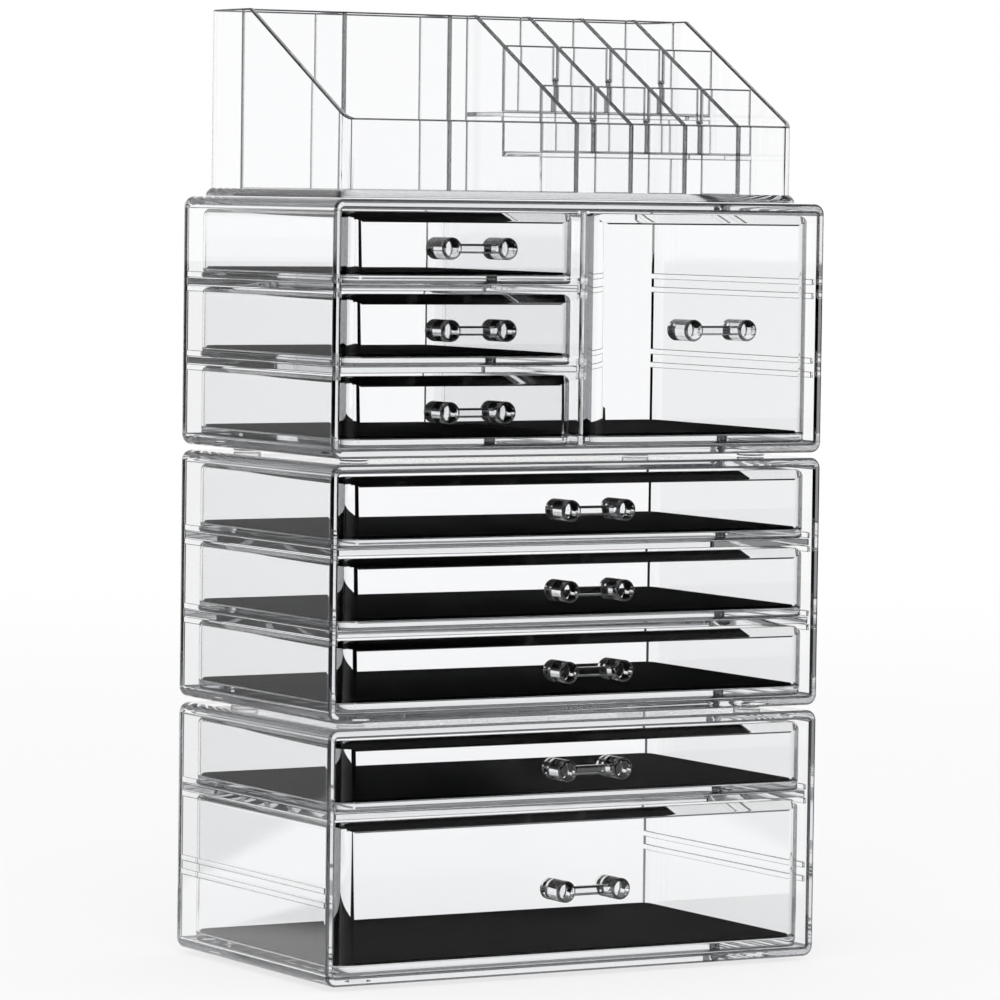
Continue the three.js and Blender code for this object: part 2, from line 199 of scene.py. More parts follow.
def round_edges(piece, chosen, radius, segments, profile=0.5, least_turn=25):
    """Rounds the chosen edges that turn by least_turn degrees or more."""
    select_only(piece)
    bpy.ops.object.mode_set(mode="EDIT")
    bpy.ops.mesh.select_mode(type="EDGE")
    bpy.ops.mesh.select_all(action="DESELECT")
    shape = bmesh.from_edit_mesh(piece.data)
    found = False
    for edge in shape.edges:
        sharp = edge.is_manifold and edge.calc_face_angle() > math.radians(least_turn)
        if sharp and chosen(*[corner.co for corner in edge.verts]):
            edge.select_set(True)
            found = True
    bmesh.update_edit_mesh(piece.data)
    if found:
        bpy.ops.mesh.bevel(offset=radius, segments=segments, profile=profile, affect="EDGES")
    bpy.ops.object.mode_set(mode="OBJECT")


def runs_along(axis):
    """True for an edge that runs along one axis."""
    def test(start, end):
        way = end - start
        return abs(way[axis]) > MOSTLY * way.length
    return test


def lies_at(axis, place):
    """True for an edge that lies in the plane where an axis has this value."""
    def test(start, end):
        return abs(start[axis] - place) < CLOSE and abs(end[axis] - place) < CLOSE
    return test


def upright_at(place):
    """True for an upright edge at this place along Y."""
    def test(start, end):
        return runs_along(Z)(start, end) and lies_at(Y, place)(start, end)
    return test


print("round_edges is ready")

# %% [markdown]
# Hollows and holes are cut, and ribs and feet are joined on, with Boolean modifiers that are
# applied at once. Clear plastic shows any wall left inside it, so pieces of one moulding are
# always joined into one skin. A cutting block runs past the face it cuts by OVERRUN.

# %% Cut and join
OVERRUN = 5 * MM
SMOOTH_TURN = math.radians(30)
FLAT_FACE_WEIGHT = 80


def combine(piece, tool, operation):
    select_only(piece)
    bpy.ops.object.modifier_add(type="BOOLEAN")
    change = piece.modifiers[-1]
    change.operation = operation
    change.object = tool
    change.solver = "EXACT"
    bpy.ops.object.modifier_apply(modifier=change.name)
    bpy.data.objects.remove(tool)


def cut_away(piece, tool):
    combine(piece, tool, "DIFFERENCE")


def fuse(piece, tool):
    combine(piece, tool, "UNION")


def gather(pieces):
    """Several separate blocks as one object, to be cut or joined in one go."""
    if len(pieces) > 1:
        select_only(*pieces)
        bpy.ops.object.join()
    return pieces[0]


def slope_above(low, high, start, rise):
    """The part of a block above a plane that climbs along Y; start is a point of the plane."""
    wedge = block("wedge", low, high)
    way = rise.normalized()
    select_only(wedge)
    bpy.ops.object.mode_set(mode="EDIT")
    bpy.ops.mesh.select_all(action="SELECT")
    bpy.ops.mesh.bisect(
        plane_co=start, plane_no=(0, -way.z, way.y), use_fill=True, clear_inner=True)
    bpy.ops.object.mode_set(mode="OBJECT")
    return wedge


def polish(piece):
    """Smooth shading on the rounds, with the flat faces kept truly flat."""
    select_only(piece)
    bpy.ops.object.shade_smooth_by_angle(angle=SMOOTH_TURN)
    bpy.ops.object.modifier_add(type="WEIGHTED_NORMAL")
    even = piece.modifiers[-1]
    even.keep_sharp = True
    even.weight = FLAT_FACE_WEIGHT
    bpy.ops.object.modifier_apply(modifier=even.name)


print("cut_away, fuse, slope_above and polish are ready")

# %% [markdown]
# Clear polystyrene bends light strongly and is a little grey in the thickness: a wall looks
# clear, but where light runs along inside it, as behind an edge, it comes out dark. So the
# grey is in the Volume, and the surface is only the polish, with faint wear in its gloss.
# Specular Tint holds back what thin walls reflect straight on, because a dozen of them in a row
# would veil the black mats. The narrow round edges of a moulding look dark from the way they bend
# light, and that shade is painted on them: they get a darker twin of its plastic.

# %% Clear plastic
def clear_plastic(name, grey, shine, tone=(0.995, 0.997, 1, 1)):
    material = bpy.data.materials.new(name)
    material.use_nodes = True
    nodes, links = material.node_tree.nodes, material.node_tree.links
    shader = nodes["Principled BSDF"]
    shader.inputs["Base Color"].default_value = tone
    shader.inputs["Transmission Weight"].default_value = 1
    shader.inputs["IOR"].default_value = 1.53
    shader.inputs["Specular Tint"].default_value = (shine, shine, shine, 1)
    place = nodes.new("ShaderNodeTexCoord")
    wear = nodes.new("ShaderNodeTexNoise")
    wear.inputs["Scale"].default_value = 60
    wear.inputs["Detail"].default_value = 4
    haze = nodes.new("ShaderNodeMapRange")
    haze.inputs["From Min"].default_value = 0.45
    haze.inputs["From Max"].default_value = 0.8
    haze.inputs["To Min"].default_value = 0
    haze.inputs["To Max"].default_value = 0.03
    links.new(place.outputs["Object"], wear.inputs["Vector"])
    links.new(wear.outputs["Fac"], haze.inputs["Value"])
    links.new(haze.outputs["Result"], shader.inputs["Roughness"])
    inside = nodes.new("ShaderNodeVolumeAbsorption")
    inside.inputs["Color"].default_value = (0.55, 0.57, 0.6, 1)
    inside.inputs["Density"].default_value = grey
    links.new(inside.outputs["Volume"], nodes["Material Output"].inputs["Volume"])
    return material


# Painted edge shade: a darker Base Color for the narrow round faces, standing in for the shade that
# their bending of light gives.
EDGE_PAINTED_SHADE = (0.16, 0.165, 0.17, 1)
TRAY_EDGE_PAINTED_SHADE = (0.3, 0.305, 0.31, 1)
SHADE_EDGE_WIDTH = 0.5 * MM
PLATE_SHADE_EDGE_WIDTH = 0.85 * MM
WALLS = {"grey": 3, "shine": 0.1}
SOLID = {"grey": 4, "shine": 1}
CASE_PLASTIC = clear_plastic("case_plastic", **WALLS)
DRAWER_PLASTIC = clear_plastic("drawer_plastic", **WALLS)
HANDLE_PLASTIC = clear_plastic("handle_plastic", **SOLID)
TRAY_PLASTIC = clear_plastic("tray_plastic", **WALLS)
SHADED_EDGE_PLASTIC = {
    CASE_PLASTIC: clear_plastic("case_plastic_painted_edge_shade", **WALLS, tone=EDGE_PAINTED_SHADE),
    DRAWER_PLASTIC: clear_plastic("drawer_plastic_painted_edge_shade", **WALLS, tone=EDGE_PAINTED_SHADE),
    HANDLE_PLASTIC: clear_plastic("handle_plastic_painted_edge_shade", **SOLID, tone=EDGE_PAINTED_SHADE),
    TRAY_PLASTIC: clear_plastic("tray_plastic_painted_edge_shade", **WALLS, tone=TRAY_EDGE_PAINTED_SHADE),
}
print("clear plastics:", [plastic.name for plastic in SHADED_EDGE_PLASTIC])

# %% [markdown]
# The mats are thin black foam with a matt skin. Fine pores give the surface its tooth.

# %% Black foam
def black_foam():
    material = bpy.data.materials.new("liner_foam")
    material.use_nodes = True
    nodes, links = material.node_tree.nodes, material.node_tree.links
    shader = nodes["Principled BSDF"]
    shader.inputs["Roughness"].default_value = 0.85
    shader.inputs["Specular IOR Level"].default_value = 0.15
    place = nodes.new("ShaderNodeTexCoord")
    pores = nodes.new("ShaderNodeTexVoronoi")
    pores.inputs["Scale"].default_value = 1400
    tone = nodes.new("ShaderNodeValToRGB")
    tone.color_ramp.elements[0].color = (0.002, 0.002, 0.0025, 1)
    tone.color_ramp.elements[1].color = (0.01, 0.01, 0.0115, 1)
    bump = nodes.new("ShaderNodeBump")
    bump.inputs["Strength"].default_value = 0.4
    bump.inputs["Distance"].default_value = 0.2 * MM
    links.new(place.outputs["Object"], pores.inputs["Vector"])
    links.new(pores.outputs["Distance"], tone.inputs["Fac"])
    links.new(tone.outputs["Color"], shader.inputs["Base Color"])
    links.new(pores.outputs["Distance"], bump.inputs["Height"])
    links.new(bump.outputs["Normal"], shader.inputs["Normal"])
    return material


FOAM = black_foam()
print("mat material:", FOAM.name)

# %% [markdown]
# Every finished piece takes its material, with painted edge shade on its narrow faces, stands in
# for its imported solid, and rides on the body that carries that solid.

# %% Put a finished piece in its place
def body_of(node):
    bodies = frame["record"]["behaviour"]["bodies"]
    return next(body for body, members in bodies.items() if node in members)


def is_narrow(face, corners, width):
    """True for a face whose area is less than its longest side times the width."""
    places = [corners[index].co for index in face.vertices]
    longest = max((a - b).length for a, b in zip(places, places[1:] + places[:1]))
    return face.area < width * longest


def finish(piece, node, material, shade_edge_width=SHADE_EDGE_WIDTH):
    piece.data.materials.clear()
    piece.data.materials.append(material)
    if material in SHADED_EDGE_PLASTIC:
        piece.data.materials.append(SHADED_EDGE_PLASTIC[material])
        # the narrow round faces take the darker twin: painted edge shade
        for face in piece.data.polygons:
            face.material_index = int(is_narrow(face, piece.data.vertices, shade_edge_width))
    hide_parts(node)
    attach(piece, body_of(node))
    return piece


# %% [markdown]
# A case is a box with round corners, open at the front. On its side walls, pairs of ribs hold
# the shelves, and four feet stand under it.

# %% Ribs
def shelf_ribs(low, high, face, outward, shelf_middles):
    ribs = []
    xs = sorted((face - outward * CASE_WALL / 2, face + outward * RIB_REACH))
    for middle in shelf_middles:
        for side in (-1, 1):
            near = middle + side * (SHELF_THICK / 2 + RIB_GAP)
            far = near + side * RIB_THICK
            zs = sorted((near, far))
            rib = block(
                "rib", (xs[0], low.y + MOUTH_SETBACK, zs[0]),
                (xs[1], high.y - CASE_WALL / 2, zs[1]))
            round_edges(rib, lies_at(X, face + outward * RIB_REACH), RIB_ROUND, segments=2)
            ribs.append(rib)
    return ribs


def shelf_middles_of(case_low):
    """The heights of the two shelf places in a case."""
    low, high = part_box("middle_case")
    floor = case_low.z + FOOT_HEIGHT + CASE_DECK
    pitch = (high.z - low.z - FOOT_HEIGHT - 2 * CASE_DECK + SHELF_THICK) / 3
    return [floor + level * pitch - SHELF_THICK / 2 for level in (1, 2)]


shelf_heights = shelf_middles_of(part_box("bottom_case")[0])
print("shelves of the bottom case stand at", [round(height, 4) for height in shelf_heights])

# %% Ribs beside the partition, and feet
def partition_ribs(low, high):
    """Pairs of ribs on the floor and under the top, where the upright partition stands."""
    near = PARTITION_THICK / 2 + RIB_GAP
    floor, ceiling = low.z + FOOT_HEIGHT + CASE_DECK, high.z - CASE_DECK
    ribs = []
    for side in (-1, 1):
        xs = sorted((side * near, side * (near + DECK_RIB_THICK)))
        for zs in ((floor - CASE_DECK / 2, floor + RIB_REACH),
                   (ceiling - RIB_REACH, ceiling + CASE_DECK / 2)):
            ribs.append(block(
                "rib", (xs[0], low.y + MOUTH_SETBACK, zs[0]),
                (xs[1], high.y - CASE_WALL / 2, zs[1])))
    return ribs


def feet(low, high):
    made = []
    for x in (low.x + FOOT_INSET, high.x - FOOT_INSET):
        for y in (low.y + FOOT_INSET, high.y - FOOT_INSET):
            root = (x, y, low.z + FOOT_HEIGHT + CASE_DECK / 2)
            foot = round_bar("foot", (x, y, low.z), root, FOOT_RADIUS, sides=48)
            round_edges(foot, lies_at(Z, low.z), FOOT_ROUND, segments=3)
            made.append(foot)
    return made


print("feet stand", FOOT_INSET, "m from the sides")

# %% Cases
def case(node, has_partition):
    low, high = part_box(node)
    base = low.z + FOOT_HEIGHT
    shell = block(node + "_moulding", (low.x, low.y, base), high)
    round_edges(shell, runs_along(Y), CASE_CORNER, segments=10)
    round_edges(shell, lies_at(Y, high.y), CASE_BACK_ROUND, segments=8)
    hollow = block(
        "hollow", (low.x + CASE_WALL, low.y - OVERRUN, base + CASE_DECK),
        (high.x - CASE_WALL, high.y - CASE_WALL, high.z - CASE_DECK))
    round_edges(hollow, runs_along(Y), CASE_CORNER - CASE_WALL, segments=8)
    round_edges(hollow, lies_at(Y, high.y - CASE_WALL), CAVITY_ROUND, segments=4)
    cut_away(shell, hollow)
    middles = shelf_middles_of(low)
    extras = shelf_ribs(low, high, low.x + CASE_WALL, 1, middles)
    extras += shelf_ribs(low, high, high.x - CASE_WALL, -1, middles)
    if has_partition:
        extras += partition_ribs(low, high)
    extras += feet(low, high)
    fuse(shell, gather(extras))
    round_edges(shell, lies_at(Y, low.y), CASE_RIM_ROUND, segments=5)
    polish(shell)
    return finish(shell, node, CASE_PLASTIC)


for node in ("bottom_case", "middle_case", "upper_case"):
    made = case(node, node == "upper_case")
    print(made.name, "has", len(made.data.polygons), "faces")

# %% [markdown]
# The shelves and the upright partition are flat plates with just eased edges.

# %% Shelves and partition
def every_edge(start, end):
    return True


def shelf(node):
    low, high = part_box(node)
    plate = block(node + "_plate", low, high)
    round_edges(plate, runs_along(Z), CAVITY_ROUND, segments=5)
    round_edges(plate, every_edge, PLATE_EDGE, segments=3)
    polish(plate)
    return finish(plate, node, CASE_PLASTIC)


for node in ("bottom_shelf", "middle_shelf_1", "middle_shelf_2", "upper_shelf_1", "upper_shelf_2"):
    print(node, "has", len(shelf(node).data.polygons), "faces")


def partition():
    low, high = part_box("upper_partition")
    half = PARTITION_THICK / 2
    plate = block("upper_partition_plate", (-half, low.y, low.z), (half, high.y, high.z))
    round_edges(plate, every_edge, PLATE_EDGE, segments=3)
    ribs = []
    for middle in shelf_middles_of(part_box("upper_case")[0]):
        for side in (-1, 1):
            near = middle + side * (SHELF_THICK / 2 + RIB_GAP)
            zs = sorted((near, near + side * RIB_THICK))
            ribs.append(block(
                "rib", (low.x, low.y + PLATE_EDGE, zs[0]), (high.x, high.y - PLATE_EDGE, zs[1])))
    fuse(plate, gather(ribs))
    polish(plate)
    return finish(plate, "upper_partition", CASE_PLASTIC)


print("partition faces:", len(partition().data.polygons))

# %% [markdown]
# A drawer is a deep dish with round corners and a bevel along the top of its thick front. It is
# cut from one block: the inside from above, a shallow recess from below, and two holes for the
# handle's pegs. The bevel works as a prism: through it, the eye sees the black mat below.

# %% Drawer trays
def peg_holes(low, high):
    middle = (low + high) / 2
    holes = []
    for side in (-1, 1):
        x = middle.x + side * POST_PITCH / 2
        holes.append(round_bar(
            "hole", (x, low.y - OVERRUN, middle.z), (x, low.y + DRAWER_FRONT + OVERRUN, middle.z),
            PEG_RADIUS + BOND_GAP, sides=40))
    return holes


def drawer_tray(node):
    low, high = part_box(node)
    tray = block(node + "_moulding", low, high)
    round_edges(tray, runs_along(Z), DRAWER_CORNER, segments=10)
    round_edges(tray, lies_at(Z, high.z), DRAWER_TOP_ROUND, segments=8)
    round_edges(tray, lies_at(Z, low.z), DRAWER_EDGE, segments=5)
    crease = Vector((0, low.y, high.z - BEVEL_HEIGHT))
    cut_away(tray, slope_above(
        (low.x - OVERRUN, low.y - OVERRUN, crease.z),
        (high.x + OVERRUN, (low.y + high.y) / 2, high.z + OVERRUN),
        crease, Vector((0, BEVEL_DEPTH, BEVEL_HEIGHT))))

    def at_crease(start, end):
        return lies_at(Z, crease.z)(start, end) and lies_at(Y, low.y)(start, end)

    round_edges(tray, at_crease, BEVEL_EASE, segments=3)
    inside = block(
        "inside", (low.x + DRAWER_WALL, low.y + DRAWER_FRONT, low.z + DRAWER_FLOOR),
        (high.x - DRAWER_WALL, high.y - DRAWER_WALL, high.z + OVERRUN))
    round_edges(inside, upright_at(low.y + DRAWER_FRONT), DRAWER_INNER_CORNER, segments=8)
    round_edges(inside, upright_at(high.y - DRAWER_WALL), DRAWER_CORNER - DRAWER_WALL, segments=8)
    round_edges(inside, lies_at(Z, low.z + DRAWER_FLOOR), DRAWER_FILLET, segments=4)
    cut_away(tray, inside)
    recess = block(
        "recess", (low.x + SKIRT_WIDTH, low.y + SKIRT_WIDTH, low.z - OVERRUN),
        (high.x - SKIRT_WIDTH, high.y - SKIRT_WIDTH, low.z + SKIRT_HEIGHT))
    round_edges(recess, runs_along(Z), DRAWER_CORNER - SKIRT_WIDTH, segments=5)
    cut_away(tray, recess)
    cut_away(tray, gather(peg_holes(low, high)))
    polish(tray)
    return finish(tray, node, DRAWER_PLASTIC)


drawers = sorted(name for name in frame["nodes"] if name.endswith("_drawer"))
for node in drawers:
    made = drawer_tray(node)
print(len(drawers), "drawer trays, the last with", len(made.data.polygons), "faces")

# %% Liner mats
for node in drawers:
    low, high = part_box(node + "_liner")
    mat = block(node + "_foam", low, high)
    round_edges(mat, runs_along(Z), MAT_CORNER, segments=6)
    round_edges(mat, every_edge, MAT_EDGE, segments=2)
    polish(mat)
    finish(mat, node + "_liner", FOAM)
print(len(drawers), "foam mats")

# %% [markdown]
# A handle has two turned posts, joined by a slim bar near their front ends. Behind each post, a
# peg fills the hole in the drawer.

# %% Handles
def handle(node):
    low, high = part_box(node + "_handle")
    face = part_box(node)[0].y
    middle = (low + high) / 2
    radius = (high.z - low.z) / 2
    parts = []
    for side in (-1, 1):
        x = middle.x + side * POST_PITCH / 2
        root = face - BOND_GAP
        post = round_bar("post", (x, low.y, middle.z), (x, root, middle.z), radius, sides=48)
        round_edges(post, lies_at(Y, low.y), POST_ROUND, segments=6)
        round_edges(post, lies_at(Y, root), POST_FOOT_ROUND, segments=2)
        peg = round_bar(
            "peg", (x, face - PEG_ROOT, middle.z), (x, high.y, middle.z), PEG_RADIUS, sides=40)
        fuse(post, peg)
        parts.append(post)
    bar = block(
        "bar", (middle.x - POST_PITCH / 2, low.y + BAR_INSET, middle.z - BAR_SIZE / 2),
        (middle.x + POST_PITCH / 2, low.y + BAR_INSET + BAR_SIZE, middle.z + BAR_SIZE / 2))
    round_edges(bar, runs_along(X), BAR_ROUND, segments=5)
    whole = gather(parts)
    fuse(whole, bar)
    whole.name = whole.data.name = node + "_handle_moulding"
    polish(whole)
    return finish(whole, node + "_handle", HANDLE_PLASTIC)


for node in drawers:
    made = handle(node)
print(len(drawers), "handles, the last with", len(made.data.polygons), "faces")

# %% [markdown]
# The tray has straight walls on a plinth that spreads at the foot. The walls' tops slope down
# to the front, so a wedge is cut away. The cut leaves very short edges where it crosses the round
# corners, and these are merged before the tops are rounded. The tops get the painted edge shade
# all over, since the photograph shows them as dark lines.

# %% Tray shell
FACES_UP = 0.5


def merge_short_edges(piece, height, shortest):
    """Merges the corners above a height that are closer together than the shortest edge."""
    select_only(piece)
    bpy.ops.object.mode_set(mode="EDIT")
    bpy.ops.mesh.select_mode(type="VERT")
    bpy.ops.mesh.select_all(action="DESELECT")
    for corner in bmesh.from_edit_mesh(piece.data).verts:
        corner.select_set(corner.co.z > height)
    bpy.ops.mesh.remove_doubles(threshold=shortest)
    bpy.ops.object.mode_set(mode="OBJECT")


def tray_shell():
    low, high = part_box("tray_shell")
    wall_low = Vector((low.x + PLINTH_REACH, low.y + PLINTH_REACH, low.z))
    wall_high = Vector((high.x - PLINTH_REACH, high.y - PLINTH_REACH, high.z))
    shell = block("tray_shell_moulding", wall_low, wall_high)
    round_edges(shell, runs_along(Z), TRAY_CORNER, segments=10)
    plinth = block("plinth", low, (high.x, high.y, low.z + PLINTH_HEIGHT))
    round_edges(plinth, runs_along(Z), TRAY_CORNER + PLINTH_REACH, segments=10)
    round_edges(
        plinth, lies_at(Z, low.z + PLINTH_HEIGHT), PLINTH_REACH, segments=6, profile=PLINTH_PROFILE)
    fuse(shell, plinth)
    inside = block(
        "inside", (wall_low.x + TRAY_WALL, wall_low.y + TRAY_WALL, low.z + TRAY_FLOOR),
        (wall_high.x - TRAY_WALL, wall_high.y - TRAY_WALL, high.z + OVERRUN))
    round_edges(inside, runs_along(Z), TRAY_CORNER - TRAY_WALL, segments=8)
    cut_away(shell, inside)
    lip = low.z + TRAY_FRONT_HEIGHT
    crest = wall_high.y - TRAY_CREST_RUN
    start = Vector((0, wall_low.y + TRAY_WALL, lip))
    cut_away(shell, slope_above(
        (low.x - OVERRUN, low.y - OVERRUN, lip), (high.x + OVERRUN, crest, high.z + OVERRUN),
        start, Vector((0, crest - start.y, high.z - lip))))
    merge_short_edges(shell, lip - CLOSE, TOP_EDGE / 2)

    def on_top(start_corner, end_corner):
        high_up = (start_corner.z + end_corner.z) / 2 > lip - CLOSE
        return high_up and not runs_along(Z)(start_corner, end_corner)

    round_edges(shell, on_top, TOP_EDGE, segments=4, least_turn=45)
    polish(shell)
    finish(shell, "tray_shell", TRAY_PLASTIC)
    # the tops take the darker twin all over: painted edge shade
    for face in shell.data.polygons:
        if face.center.z > lip - CLOSE and face.normal.z > FACES_UP:
            face.material_index = 1
    return shell


print("tray shell faces:", len(tray_shell().data.polygons))

# %% [markdown]
# The plates of the tray are flat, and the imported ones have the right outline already, with
# their slots and their stepped feet. Each is copied, its loose triangles are merged into whole
# faces, and its edges are eased a little, as a trimmed plate's are. The outline of an upright
# plate is rounded first, as the tray's tops are.

# %% Plates of the tray
SAME_PLACE = 0.01 * MM
FLAT_TURN = math.radians(1)


def eased_plate(node):
    select_only(frame["nodes"][node])
    bpy.ops.object.duplicate()
    plate = bpy.context.object
    plate.name = plate.data.name = node + "_plate"
    for key in list(plate.keys()):
        del plate[key]
    plate.parent = None
    bpy.ops.object.mode_set(mode="EDIT")
    bpy.ops.mesh.select_all(action="SELECT")
    bpy.ops.mesh.remove_doubles(threshold=SAME_PLACE)
    bpy.ops.mesh.dissolve_limited(angle_limit=FLAT_TURN)
    bpy.ops.object.mode_set(mode="OBJECT")
    across = min((X, Y, Z), key=lambda axis: plate.dimensions[axis])

    def is_outline(start, end):
        return not runs_along(across)(start, end)

    if across != Z:
        round_edges(plate, is_outline, PLATE_ROUND, segments=5)
    round_edges(plate, every_edge, PLATE_EDGE, segments=2)
    polish(plate)
    return finish(plate, node, TRAY_PLASTIC, PLATE_SHADE_EDGE_WIDTH)


tray_plates = sorted(
    row["node"] for row in frame["record"]["subparts"]
    if row["material_slot"] == "tray_plastic" and row["node"] != "tray_shell")
for node in tray_plates:
    made = eased_plate(node)
    print(made.name, len(made.data.polygons), "faces")

# %% [markdown]
# The organizer stands on a pale floor in a white studio. Clear plastic is photographed before a
# bright background with black flags on both sides of it: what is seen straight through stays
# white, and every round edge bends a flag into view as a dark line. The flags here are part of
# the floor and the world, and only reflections and what is seen through plastic meet them.
# Each way is an opening between two flags: its first and last angle in degrees and its tone.

# %% Openings between the flags
SKY_WAYS = ((10, 141, 1), (174, 186, 1), (309, 321, 1))
FAR_WAYS = ((10, 105, 1), (107, 128, 0.3), (129, 141, 1), (174, 186, 1), (309, 321, 1))
NEAR_WAYS = ((10, 109, 1), (111, 149, 0.25), (162, 198, 1), (297, 333, 1))
SOFT_EDGE = 2
FULL_TURN = 360
FLAG_TONE = 0.02


def opening_mask(tree, x, y, ways):
    """The level of each way between its two angles, seen from the organizer, and 0 elsewhere."""
    around = tree.nodes.new("ShaderNodeMath")
    around.operation = "ARCTAN2"
    tree.links.new(y, around.inputs[0])
    tree.links.new(x, around.inputs[1])
    turn = tree.nodes.new("ShaderNodeMath")
    turn.operation = "DIVIDE"
    turn.inputs[1].default_value = 2 * math.pi
    tree.links.new(around.outputs["Value"], turn.inputs[0])
    whole = tree.nodes.new("ShaderNodeMath")
    whole.operation = "FRACT"
    tree.links.new(turn.outputs["Value"], whole.inputs[0])
    mask = tree.nodes.new("ShaderNodeValToRGB")
    ramp = mask.color_ramp
    ramp.elements[0].color = ramp.elements[1].color = (0, 0, 0, 1)
    ends = [high for low, high, level in ways]
    starts = [low for low, high, level in ways]
    for low, high, level in ways:
        grey = (level, level, level, 1)
        if not any(0 < low - end < 2 * SOFT_EDGE for end in ends):
            ramp.elements.new((low - SOFT_EDGE) / FULL_TURN).color = (0, 0, 0, 1)
        ramp.elements.new(low / FULL_TURN).color = grey
        ramp.elements.new(high / FULL_TURN).color = grey
        if not any(0 < start - high < 2 * SOFT_EDGE for start in starts):
            ramp.elements.new((high + SOFT_EDGE) / FULL_TURN).color = (0, 0, 0, 1)
    tree.links.new(whole.outputs["Value"], mask.inputs["Fac"])
    return mask.outputs["Color"]


print("bright openings at", SKY_WAYS, "degrees")

# %% Mixing by number and by ray
def any_of(tree, *sockets):
    """The largest of several numbers."""
    total = sockets[0]
    for socket in sockets[1:]:
        larger = tree.nodes.new("ShaderNodeMath")
        larger.operation = "MAXIMUM"
        tree.links.new(total, larger.inputs[0])
        tree.links.new(socket, larger.inputs[1])
        total = larger.outputs["Value"]
    return total


def mixed(tree, share, first, second):
    """A Mix Shader that goes from the first shader to the second as the share goes to 1."""
    mix = tree.nodes.new("ShaderNodeMixShader")
    tree.links.new(share, mix.inputs["Fac"])
    tree.links.new(first, mix.inputs[1])
    tree.links.new(second, mix.inputs[2])
    return mix.outputs["Shader"]


def ranged(tree, value, start, stop, first, last):
    """A smooth change from first to last while value goes from start to stop."""
    change = tree.nodes.new("ShaderNodeMapRange")
    change.interpolation_type = "SMOOTHSTEP"
    change.inputs["From Min"].default_value = start
    change.inputs["From Max"].default_value = stop
    change.inputs["To Min"].default_value = first
    change.inputs["To Max"].default_value = last
    tree.links.new(value, change.inputs["Value"])
    return change.outputs["Result"]


print("any_of, mixed and ranged are ready")

# %% [markdown]
# The floor is matt paint and takes the shadow, with a glow in it that grows with the distance
# from the organizer, as on a studio's lit sweep. Rays that come through plastic or off it see
# the same floor with the flags on it: right under the organizer nothing is flagged, beside it and
# further out only the openings are bright. Where a zone ends, it fades between two distances in
# metres.

# %% Floor
FLOOR_SIZE = 40
FLOOR_DROP = 0.05 * MM
FLOOR_TONE = (0.9, 0.9, 0.9, 1)
UNDER_END = (0.2, 0.3)
BESIDE_END = (1.1, 1.3)
GLOW_RUN = (0.5, 2.5)
GLOW_SHARES = (0.75, 1)
bpy.ops.object.select_all(action="DESELECT")
bpy.ops.mesh.primitive_plane_add(size=FLOOR_SIZE, location=(0, 0, -FLOOR_DROP))
floor = bpy.context.object
floor.name = "floor"
paint = bpy.data.materials.new("floor_paint")
paint.use_nodes = True
tree = paint.node_tree
matt = tree.nodes["Principled BSDF"]
matt.inputs["Base Color"].default_value = FLOOR_TONE
matt.inputs["Roughness"].default_value = 0.9
matt.inputs["Specular IOR Level"].default_value = 0.1
glow = tree.nodes.new("ShaderNodeEmission")
glow.inputs["Color"].default_value = (1, 1, 1, 1)
flag = tree.nodes.new("ShaderNodeEmission")
flag.inputs["Color"].default_value = (FLAG_TONE, FLAG_TONE, FLAG_TONE, 1)
place = tree.nodes.new("ShaderNodeTexCoord")
parts = tree.nodes.new("ShaderNodeSeparateXYZ")
tree.links.new(place.outputs["Object"], parts.inputs["Vector"])
east, north = parts.outputs["X"], parts.outputs["Y"]
far = tree.nodes.new("ShaderNodeVectorMath")
far.operation = "LENGTH"
tree.links.new(place.outputs["Object"], far.inputs[0])
ray = tree.nodes.new("ShaderNodeLightPath")
under = ranged(tree, far.outputs["Value"], *UNDER_END, 1, 0)
beside = tree.nodes.new("ShaderNodeMath")
beside.operation = "MULTIPLY"
tree.links.new(ranged(tree, far.outputs["Value"], *BESIDE_END, 1, 0), beside.inputs[0])
tree.links.new(opening_mask(tree, east, north, NEAR_WAYS), beside.inputs[1])
beyond = opening_mask(tree, east, north, FAR_WAYS)
open_here = any_of(tree, under, beside.outputs["Value"], beyond)
lit_share = ranged(tree, far.outputs["Value"], *GLOW_RUN, *GLOW_SHARES)
white_floor = mixed(tree, lit_share, matt.outputs["BSDF"], glow.outputs["Emission"])
behind_plastic = mixed(tree, open_here, flag.outputs["Emission"], white_floor)
seen_directly = mixed(tree, ray.outputs["Is Camera Ray"], matt.outputs["BSDF"], white_floor)
through = any_of(tree, ray.outputs["Is Glossy Ray"], ray.outputs["Is Transmission Ray"])
whole = mixed(tree, through, seen_directly, behind_plastic)
tree.links.new(whole, tree.nodes["Material Output"].inputs["Surface"])
floor.data.materials.append(paint)
print("floor of", floor.dimensions.x, "m")

# %% [markdown]
# The world is white to the camera and gives the matt things their diffuse light. In plastic it
# shows the openings up to LOW_SKY_END, flags above them, and a bright ceiling from HIGH_SKY_START.

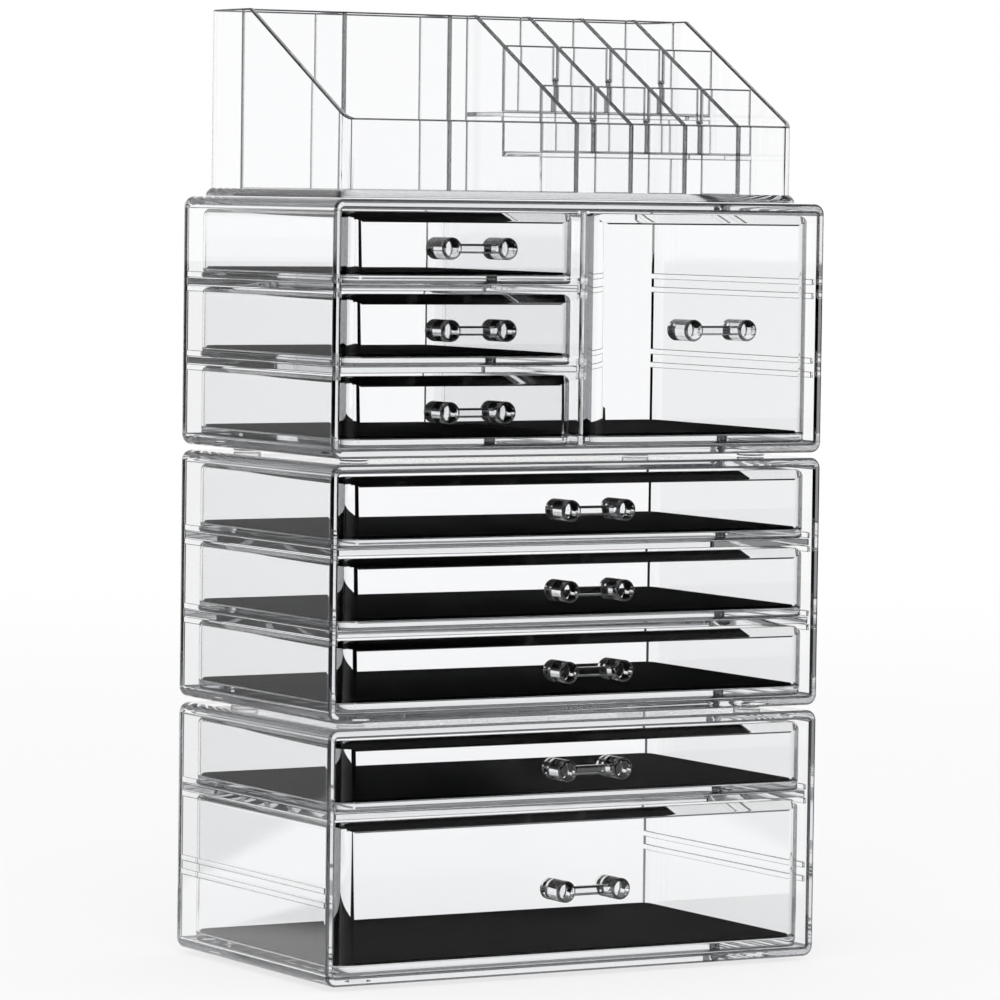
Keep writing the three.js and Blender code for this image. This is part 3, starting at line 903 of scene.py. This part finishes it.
# %% Room light
LOW_SKY_END = [math.sin(math.radians(height)) for height in (40, 44)]
HIGH_SKY_START = [math.sin(math.radians(height)) for height in (58, 64)]
DIFFUSE_LIGHT = 0.85
world = bpy.data.worlds.new("studio")
bpy.context.scene.world = world
world.use_nodes = True
tree = world.node_tree
tree.nodes.clear()
direction = tree.nodes.new("ShaderNodeTexCoord")
parts = tree.nodes.new("ShaderNodeSeparateXYZ")
tree.links.new(direction.outputs["Generated"], parts.inputs["Vector"])
east, north, upward = [parts.outputs[axis] for axis in "XYZ"]
low_sky = ranged(tree, upward, *LOW_SKY_END, 1, 0)
high_sky = ranged(tree, upward, *HIGH_SKY_START, 0, 1)
window = tree.nodes.new("ShaderNodeMath")
window.operation = "MULTIPLY"
tree.links.new(low_sky, window.inputs[0])
tree.links.new(opening_mask(tree, east, north, SKY_WAYS), window.inputs[1])


def background(tone, strength=1):
    sky = tree.nodes.new("ShaderNodeBackground")
    sky.inputs["Color"].default_value = (tone, tone, tone, 1)
    sky.inputs["Strength"].default_value = strength
    return sky.outputs["Background"]


ray = tree.nodes.new("ShaderNodeLightPath")
open_sky = any_of(tree, window.outputs["Value"], high_sky)
behind_plastic = mixed(tree, open_sky, background(FLAG_TONE), background(1))
through = any_of(tree, ray.outputs["Is Glossy Ray"], ray.outputs["Is Transmission Ray"])
not_seen = mixed(tree, through, background(1, DIFFUSE_LIGHT), behind_plastic)
whole = mixed(tree, ray.outputs["Is Camera Ray"], not_seen, background(1))
output = tree.nodes.new("ShaderNodeOutputWorld")
tree.links.new(whole, output.inputs["Surface"])
print("the world gives diffuse light at", DIFFUSE_LIGHT)

# %% Lamp
LAMP_PLACE = Vector((-0.8, -1.4, 1.8))
LAMP_AIM = Vector((0, 0, 0.2))
LAMP_SIZE = 1.2
LAMP_POWER = 14
bpy.ops.object.select_all(action="DESELECT")
bpy.ops.object.light_add(type="AREA", location=LAMP_PLACE)
lamp = bpy.context.object
lamp.name = "soft_box"
lamp.data.shape = "RECTANGLE"
lamp.data.size = lamp.data.size_y = LAMP_SIZE
lamp.data.energy = LAMP_POWER
lamp.rotation_mode = "QUATERNION"
lamp.rotation_quaternion = (LAMP_AIM - LAMP_PLACE).to_track_quat("-Z", "Y")
print("lamp power", lamp.data.energy, "W")

# %% [markdown]
# A line of sight through the stack crosses a dozen walls, so light is followed through more
# bounces than Blender's usual count. Standard view keeps white as white.

# %% View and light paths
MOST_BOUNCES = 64
MOST_CUTOUTS = 16
scene = bpy.context.scene
scene.view_settings.view_transform = "Standard"
scene.cycles.max_bounces = MOST_BOUNCES
scene.cycles.transmission_bounces = MOST_BOUNCES
scene.cycles.glossy_bounces = MOST_BOUNCES
scene.cycles.transparent_max_bounces = MOST_CUTOUTS
print("bounces:", scene.cycles.max_bounces)
